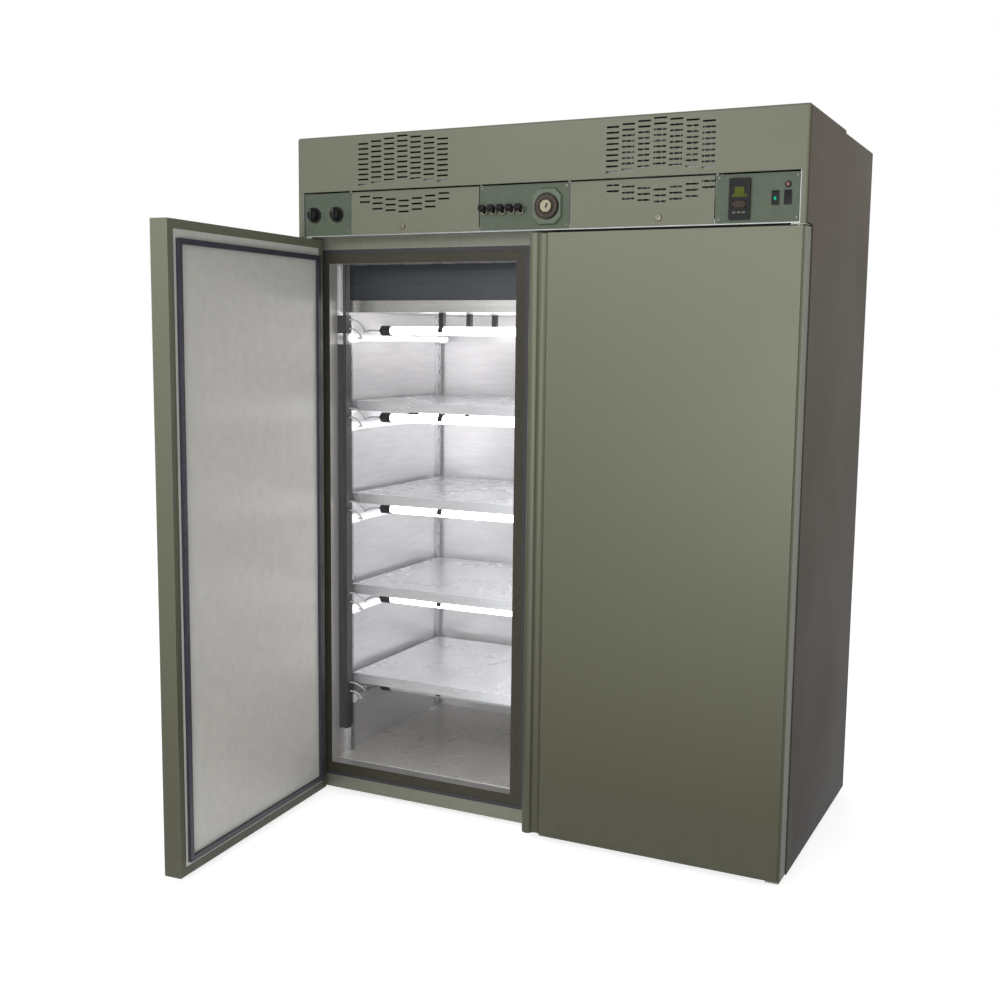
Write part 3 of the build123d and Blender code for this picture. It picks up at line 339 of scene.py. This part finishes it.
# Painted shade: the side panels and the hood's flanks take this browner, duller copy of the same steel.
shaded_flank_steel = finish("painted_shade_flank_steel", (0.13, 0.105, 0.072), (0.1, 0.08, 0.055), 0.6, metallic=0.0,
                    stretch=(420.0, 420.0, 1.2), depth=0.00004, smudge_size=1.2,
                    smudge_amount=0.4, wear=0.35, wear_colour=(0.36, 0.34, 0.28),
                    dust_top=0.2, dust_amount=0.2, painted_shade_to=brown_painted_shade, painted_shade_amount=1.0, specular=0.12)
hood_olive = (0.142, 0.148, 0.104)
hood_shade = tuple(0.96 * c for c in hood_olive)
lying_steel = finish("olive_steel_lying", hood_olive, hood_shade, 0.5, metallic=0.1,
                     stretch=(0.8, 700.0, 700.0), depth=0.00001, smudge_size=1.6,
                     smudge_amount=0.3, wear=0.35, wear_colour=(0.36, 0.37, 0.31), specular=0.35)
dress(upright_steel, "door_left_shell", "door_right_shell")
dress(shaded_flank_steel, "side_panel_left", "side_panel_right")
dress(lying_steel, "hood_cover", "rear_cover", "flap_left", "flap_right")
# Painted shade: the hood's sideways faces take the shaded copy of the steel.
second_look("hood_cover", shaded_flank_steel, lambda mesh, face: abs(face.normal.x) > facing_along)


# Plinth, back and inner panels
# The base is a black-painted folded tray. The back and the tops of the foamed panels are
# plain galvanised sheet, and they don't show from the front.
black_paint = finish("black_paint", (0.018, 0.018, 0.018), (0.03, 0.03, 0.028), 0.5, wear=0.4,
                     wear_colour=(0.2, 0.2, 0.19), dust_top=0.02, dust_amount=0.6)
galvanised = finish("galvanised_sheet", (0.42, 0.43, 0.43), (0.33, 0.34, 0.34), 0.45, metallic=0.7,
                    stretch=(40.0, 40.0, 40.0), smudge_size=9.0, smudge_amount=0.6,
                    dust_top=0.4, dust_amount=0.25)
dress(black_paint, "base_plinth")
dress(galvanised, "back_panel", "floor_panel", "ceiling_panel", "fascia_frame", "ballast_tray")


# Chamber liner
# Polished stainless sheets line the chamber and throw the lamp light round it. They wave a
# little between their folds, so reflections wander.
def mirror_finish(name, colour, roughness, wave):
    """Polished sheet with slow waves in it."""
    look = finish(name, colour, tuple(0.88 * c for c in colour), roughness, metallic=0.55,
                  stretch=(9.0, 9.0, 90.0), smudge_size=5.0, smudge_amount=0.3)
    tree = look.node_tree
    shader = tree.nodes["Principled BSDF"]
    place = add_node(tree, "ShaderNodeTexCoord")
    swell = add_node(tree, "ShaderNodeTexNoise", Scale=5.0, Detail=1.0)
    bump = add_node(tree, "ShaderNodeBump", Strength=0.6, Distance=wave)
    wire(tree, (place.outputs["Object"], swell.inputs["Vector"]),
         (swell.outputs["Fac"], bump.inputs["Height"]),
         (bump.outputs[0], shader.inputs["Normal"]))
    return look


bright = (0.78, 0.77, 0.78)
liner_look = mirror_finish("polished_liner", bright, 0.34, 0.004)
dress(liner_look, "chamber_liner")
floor_sheet = finish("chamber_floor_sheet", (0.8, 0.78, 0.74), (0.62, 0.6, 0.56), 0.3, metallic=0.1,
                     smudge_size=7.0, smudge_amount=0.6)
below_shelves = 0.2
second_look("chamber_liner", floor_sheet,
            lambda mesh, face: face.normal.z > facing_along and face.center.z < below_shelves)


# Face frame, breaker strips and seals
# Olive-grey bars surround the two doorways. Plastic breaker strips with bright lips line
# them, and a black strip runs round each doorway.
frame_look = finish("frame_steel", (0.19, 0.2, 0.155), (0.165, 0.172, 0.13), 0.45, metallic=0.2,
                    stretch=(200.0, 200.0, 3.0), smudge_size=4.0, smudge_amount=0.4, wear=0.4)
breaker_look = finish("breaker_plastic", (0.05, 0.047, 0.033), (0.04, 0.037, 0.026), 0.5, specular=0.2,
                      smudge_size=6.0, smudge_amount=0.4, wear=0.3, wear_colour=(0.14, 0.13, 0.12))
seal_look = finish("seal_rubber", (0.012, 0.012, 0.014), (0.022, 0.022, 0.024), 0.6,
                   smudge_size=18.0, smudge_amount=0.6)
dress(frame_look, "front_frame")
dress(breaker_look, "breaker_frames")
lip_look = finish("reveal_steel", (0.5, 0.49, 0.48), (0.42, 0.41, 0.4), 0.4, metallic=0.4,
                  stretch=(200.0, 200.0, 3.0), smudge_size=5.0, smudge_amount=0.4)
behind_ring = -0.33
second_look("breaker_frames", lip_look,
            lambda mesh, face: any(mesh.vertices[v].co.y > behind_ring for v in face.vertices))
dress(seal_look, "seal_strips")


# Doors
# Each door is a foamed steel slab with a rolled free edge and a finger channel beside it.
# Inside are a pale flat liner and a navy-black gasket that follows its rim.
pale_liner = finish("door_liner_paint", (0.6, 0.59, 0.55), (0.54, 0.53, 0.5), 0.4,
                    stretch=(30.0, 30.0, 30.0), smudge_size=1.6, smudge_amount=0.3)
gasket_look = finish("gasket_rubber", (0.016, 0.018, 0.03), (0.03, 0.032, 0.045), 0.5,
                     smudge_size=14.0, smudge_amount=0.5)
hinge_look = finish("hinge_steel", (0.24, 0.245, 0.21), (0.16, 0.165, 0.14), 0.35, metallic=0.8,
                    wear=0.6, smudge_size=20.0)
dress(pale_liner, "door_left_liner", "door_right_liner")
dress(gasket_look, "door_left_gasket", "door_right_gasket")
dress(hinge_look, "hinge_brackets")


# Shelves and standards
# Four bright steel trays with folded fronts rest on angles that hook into slotted
# standards.
shelf_look = mirror_finish("shelf_steel", (0.74, 0.75, 0.78), 0.3, 0.001)
standard_look = finish("standard_steel", (0.55, 0.56, 0.57), (0.42, 0.43, 0.44), 0.3, metallic=0.9,
                       stretch=(300.0, 300.0, 4.0))
dress(shelf_look, "shelf_1", "shelf_2", "shelf_3", "shelf_4")
dress(standard_look, "shelf_standards")


# Lamps and their leads
# White fluorescent tubes hang under each level in black waterproof holders, and a short one
# lies along each side wall. All but the lowest level are lit.
def tube_finish(name, colour, light, lit_above=0.0):
    """White tube, dimmer towards its caps, with faint phosphor clouds."""
    look = finish(name, colour, tuple(0.93 * c for c in colour), 0.25, smudge_size=12.0,
                  smudge_amount=0.3, coat=0.6)
    tree = look.node_tree
    shader = tree.nodes["Principled BSDF"]
    if light:
        place = add_node(tree, "ShaderNodeTexCoord")
        axes = add_node(tree, "ShaderNodeSeparateXYZ")
        reach = add_node(tree, "ShaderNodeMath")
        reach.operation = "ABSOLUTE"
        shade = in_range(tree, reach.outputs[0], 0.54, 0.6, 1.0, 0.35)
        wire(tree, (place.outputs["Object"], axes.inputs[0]), (axes.outputs["X"], reach.inputs[0]))
        warm = blended(tree, shade, (0.45, 0.45, 0.5), (1.0, 0.98, 0.97))
        switched = add_node(tree, "ShaderNodeMath")
        switched.operation = "GREATER_THAN"
        switched.inputs[1].default_value = lit_above
        power = add_node(tree, "ShaderNodeMath")
        power.operation = "MULTIPLY"
        power.inputs[1].default_value = light
        wire(tree, (warm, shader.inputs["Emission Color"]), (axes.outputs["Z"], switched.inputs[0]),
             (switched.outputs[0], power.inputs[0]), (power.outputs[0], shader.inputs["Emission Strength"]))
    return look


lit_look = tube_finish("lit_tube", (0.9, 0.92, 0.95), 4.2)
side_look = tube_finish("side_tube", (0.62, 0.64, 0.65), 1.1, lit_above=0.5)
# Painted shade: the unlit tubes get a grey base colour for the shade they hang in; the tubes are white.
grey_shaded_tube_look = tube_finish("tube_off_painted_shade", (0.62, 0.64, 0.65), 0.0)
holder_look = finish("holder_plastic", (0.02, 0.02, 0.022), (0.035, 0.035, 0.036), 0.45, wear=0.3,
                     wear_colour=(0.12, 0.12, 0.12), smudge_size=20.0)
duct_look = finish("duct_plastic", (0.035, 0.035, 0.036), (0.055, 0.054, 0.052), 0.42,
                   stretch=(90.0, 90.0, 4.0), smudge_size=6.0, wear=0.4, wear_colour=(0.16, 0.16, 0.155))
lead_look = finish("lead_rubber", (0.6, 0.6, 0.58), (0.5, 0.5, 0.48), 0.5, smudge_size=20.0)
dress(lit_look, "lamp_tubes_lit")
dress(grey_shaded_tube_look, "lamp_tubes_unlit")
dress(side_look, "side_lamps")
dress(holder_look, "lamp_holders", "cable_gland")
dress(duct_look, "cable_duct")
dress(lead_look, "lamp_leads")


# Cooler
# A bright frame under the ceiling holds a navy ribbed grille in front of the finned coil
# and the blower wheel.
rail_look = finish("cooler_rail_steel", (0.62, 0.62, 0.61), (0.5, 0.5, 0.49), 0.3, metallic=0.9,
                   stretch=(3.0, 300.0, 300.0), smudge_size=8.0, smudge_amount=0.4)
navy_look = finish("navy_paint", (0.018, 0.024, 0.03), (0.026, 0.032, 0.04), 0.45, coat=0.1,
                   smudge_size=7.0, smudge_amount=0.6, wear=0.4, wear_colour=(0.12, 0.13, 0.15))
fin_look = finish("fin_aluminium", (0.55, 0.56, 0.57), (0.42, 0.43, 0.44), 0.35, metallic=0.9)
fan_look = finish("fan_plastic", (0.03, 0.03, 0.03), (0.05, 0.05, 0.05), 0.5)
dress(rail_look, "cooler_frame")
dress(navy_look, "cooler_grille")
dress(fin_look, "evaporator_coil", "condenser")
dress(fan_look, "evaporator_blower", "condenser_fan")


# Fascia controls
# Grey-green painted plates carry two knobs, five lever switches, a day timer, a digital
# controller, two rockers and a lamp.
plate_look = finish("plate_paint", (0.082, 0.106, 0.072), (0.066, 0.088, 0.058), 0.5, specular=0.3,
                    smudge_size=9.0, smudge_amount=0.6, wear=0.5, wear_colour=(0.3, 0.31, 0.27))
control_look = finish("control_plastic", (0.006, 0.006, 0.006), (0.01, 0.01, 0.01), 0.5, specular=0.15,
                      smudge_size=30.0, wear=0.4, wear_colour=(0.1, 0.1, 0.1))
timer_look = finish("timer_plastic", (0.11, 0.14, 0.095), (0.09, 0.115, 0.078), 0.4, specular=0.3,
                    smudge_size=18.0, wear=0.2, wear_colour=(0.25, 0.27, 0.22))
dial_look = finish("dial_plastic", (0.025, 0.014, 0.009), (0.035, 0.022, 0.014), 0.45,
                   specular=0.2, smudge_size=25.0)
lock_look = finish("lock_chrome", (0.2, 0.185, 0.14), (0.12, 0.11, 0.085), 0.35, metallic=0.8,
                   smudge_size=40.0)
dress(plate_look, "control_plates")
dress(control_look, "knob_1", "knob_2", "control_bezels", "controller_case", "rocker_2",
      *[f"toggle_{i + 1}" for i in range(5)])
dress(timer_look, "timer_case")
dress(dial_look, "timer_dial", "controller_key")
dress(lock_look, "lock_left", "lock_right")


def glowing(name, colour, glow_colour, light):
    """Tinted window lit from behind, uneven as small lamps make it."""
    look = finish(name, colour, tuple(0.6 * c for c in colour), 0.4, smudge_size=40.0, specular=0.1)
    tree = look.node_tree
    shader = tree.nodes["Principled BSDF"]
    patch = place_effect(tree, smudge, Size=55.0, Contrast=0.8)
    tint = blended(tree, patch.outputs["Mask"], glow_colour, tuple(0.35 * c for c in glow_colour))
    wire(tree, (tint, shader.inputs["Emission Color"]))
    shader.inputs["Emission Strength"].default_value = light
    return look


dress(control_look, "rocker_1", "controller_display")
raised_front = -0.4129
second_look("controller_display",
            glowing("display_window", (0.02, 0.024, 0.003), (0.2, 0.23, 0.01), 0.45),
            lambda mesh, face: all(mesh.vertices[v].co.y < raised_front for v in face.vertices))


# Fascia fittings
# Small screws hold the fixed plates. The timer has a cream hub with a dark key and day
# ticks, the knobs have scales and pointers, and the controller has three small keys.
def fitting(name, body, look, build):
    """New piece in a mesh of its own that rides on a body."""
    mesh = bpy.data.meshes.new(name)
    shape = bmesh.new()
    build(shape)
    bmesh.ops.recalc_face_normals(shape, faces=shape.faces)
    shape.to_mesh(mesh)
    shape.free()
    mesh.materials.append(look)
    piece = bpy.data.objects.new(name, mesh)
    bpy.context.scene.collection.objects.link(piece)
    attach(piece, body)
    return piece


def edges_of(verts):
    """Edges that meet these vertices, in the same order each run."""
    return list(dict.fromkeys(edge for vert in verts for edge in vert.link_edges))


def disc(shape, x, z, front, rear, radius, sides=32, turn=0.0, rim=0.0):
    """Round or many-sided disc that faces the viewer, with a bevelled front rim."""
    pose = Matrix.Translation((x, (front + rear) / 2, z)) @ Matrix.Rotation(math.radians(90), 4, "X")
    pose = pose @ Matrix.Rotation(turn, 4, "Z")
    made = bmesh.ops.create_cone(shape, cap_ends=True, segments=sides, radius1=radius, radius2=radius,
                                 depth=rear - front, matrix=pose)
    if rim:
        edges = [e for e in edges_of(made["verts"]) if all(v.co.y < front + 1e-6 for v in e.verts)]
        bmesh.ops.bevel(shape, geom=edges, offset=rim, segments=3, profile=0.5, affect="EDGES", material=-1)


def bar(shape, x, z, front, rear, wide, tall, turn=0.0):
    """Flat bar that faces the viewer, turned about the line of sight."""
    pose = (Matrix.Translation((x, (front + rear) / 2, z)) @ Matrix.Rotation(turn, 4, "Y")
            @ Matrix.Diagonal((wide, rear - front, tall, 1.0)))
    bmesh.ops.create_cube(shape, size=1.0, matrix=pose)


plate_front = -0.407
control_row = 1.778
knob_columns = (-0.696, -0.618)
timer_column = 0.053
dial_front = -0.419
switch_row = 1.77
switch_columns = [-0.136 + 0.0273 * i for i in range(5)]
screw_columns = (-0.722, -0.58, -0.143, 0.108, 0.525, 0.722)
screw_places = [(x, z) for x in screw_columns for z in (1.7285, 1.8305)]


def screw_heads(shape):
    """Domed screw heads at the corners of the fixed plates."""
    for x, z in screw_places:
        disc(shape, x, z, plate_front - 0.0018, plate_front, 0.0038, sides=24, rim=0.0008)


def screw_slots(shape):
    """Dark slots in the screw heads, each turned its own way."""
    for i, (x, z) in enumerate(screw_places):
        bar(shape, x, z, plate_front - 0.0019, plate_front - 0.0012, 0.0056, 0.0008, turn=0.7 * i)


def scale_ticks(shape):
    """Eleven marks round each knob."""
    for x in knob_columns:
        for i in range(11):
            a = math.radians(-150 + 30 * i)
            bar(shape, x + 0.03 * math.sin(a), control_row + 0.03 * math.cos(a), plate_front - 0.0003,
                plate_front, 0.0012, 0.005, turn=a)


def day_ticks(shape):
    """Twenty-four marks on the dial, every second one long."""
    for i in range(24):
        a = math.radians(15 * i)
        bar(shape, timer_column + 0.0265 * math.sin(a), control_row + 0.0265 * math.cos(a),
            dial_front - 0.0003, dial_front, 0.0009, 0.006 if i % 2 == 0 else 0.0035, turn=a)


def hub_key(shape):
    """Dark key on the timer's hub."""
    bar(shape, 0.0565, 1.779, -0.4262, -0.4245, 0.004, 0.013, turn=0.35)


def controller_keys(shape):
    """Three small keys in a row."""
    for i in range(3):
        bar(shape, 0.566 + 0.012 * i, 1.7445, -0.4152, -0.414, 0.008, 0.0045)


def lens(shape):
    """Flattened dome of the indicator lamp."""
    pose = Matrix.Translation((0.6985, -0.41, 1.8095)) @ Matrix.Diagonal((1.0, 0.6, 1.0, 1.0))
    bmesh.ops.create_uvsphere(shape, u_segments=24, v_segments=12, radius=0.0055, matrix=pose)


def rocker_window(shape):
    """Small lit window in the left rocker."""
    pose = Matrix.Translation((0.6672, -0.4092, 1.7765)) @ Matrix.Diagonal((1.0, 0.4, 1.5, 1.0))
    bmesh.ops.create_uvsphere(shape, u_segments=20, v_segments=10, radius=0.0032, matrix=pose)


def pale_rings(shape):
    """Narrow ring round the neck of each lever switch."""
    for x in switch_columns:
        rim = bmesh.ops.create_circle(shape, cap_ends=False, segments=32, radius=0.0092,
                                      matrix=Matrix.Translation((x, -0.4097, switch_row))
                                      @ Matrix.Rotation(math.radians(90), 4, "X"))
        inner = bmesh.ops.create_circle(shape, cap_ends=False, segments=32, radius=0.0068,
                                        matrix=Matrix.Translation((x, -0.4101, switch_row))
                                        @ Matrix.Rotation(math.radians(90), 4, "X"))
        bmesh.ops.bridge_loops(shape, edges=edges_of(rim["verts"] + inner["verts"]))


cream_look = finish("cream_plastic", (0.36, 0.33, 0.22), (0.3, 0.27, 0.18), 0.4,
                    smudge_size=40.0)
ink_look = finish("pale_ink", (0.2, 0.21, 0.17), (0.16, 0.17, 0.14), 0.55, smudge_size=60.0)
lens_look = finish("amber_lens", (0.16, 0.03, 0.01), (0.1, 0.02, 0.008), 0.15, coat=0.8,
                   smudge_size=60.0)
fitting("plate_screws", "cabinet", lock_look, screw_heads)
fitting("screw_slots", "cabinet", control_look, screw_slots)
fitting("knob_scales", "cabinet", ink_look, scale_ticks)
fitting("timer_ticks", "timer_dial", ink_look, day_ticks)
fitting("timer_hub", "timer_dial", cream_look,
        lambda shape: disc(shape, timer_column, control_row, -0.4246, -0.4215, 0.0175, sides=8,
                           turn=0.39, rim=0.003))
fitting("hub_key", "timer_dial", control_look, hub_key)
fitting("controller_keys", "cabinet", timer_look, controller_keys)
fitting("indicator_lens", "cabinet", lens_look, lens)
fitting("switch_rings", "cabinet", cream_look, pale_rings)
fitting("rocker_window", "rocker_1",
        glowing("green_window", (0.005, 0.1, 0.05), (0.0, 0.6, 0.3), 1.0), rocker_window)
for i, x in enumerate(knob_columns):
    fitting(f"pointer_{i + 1}", f"knob_{i + 1}", ink_look,
            lambda shape, x=x: bar(shape, x, 1.789, -0.4323, -0.4318, 0.0014, 0.012))


# Machinery
# The compressor is a black-enamelled pot. It stands on the ceiling panel behind the
# fascia and shows only through the vents.
compressor_look = finish("compressor_enamel", (0.012, 0.012, 0.012), (0.02, 0.02, 0.02), 0.25,
                         coat=0.5, dust_top=2.2, dust_amount=0.3)
dress(compressor_look, "compressor")


bpy.context.scene.view_settings.view_transform = "Standard"
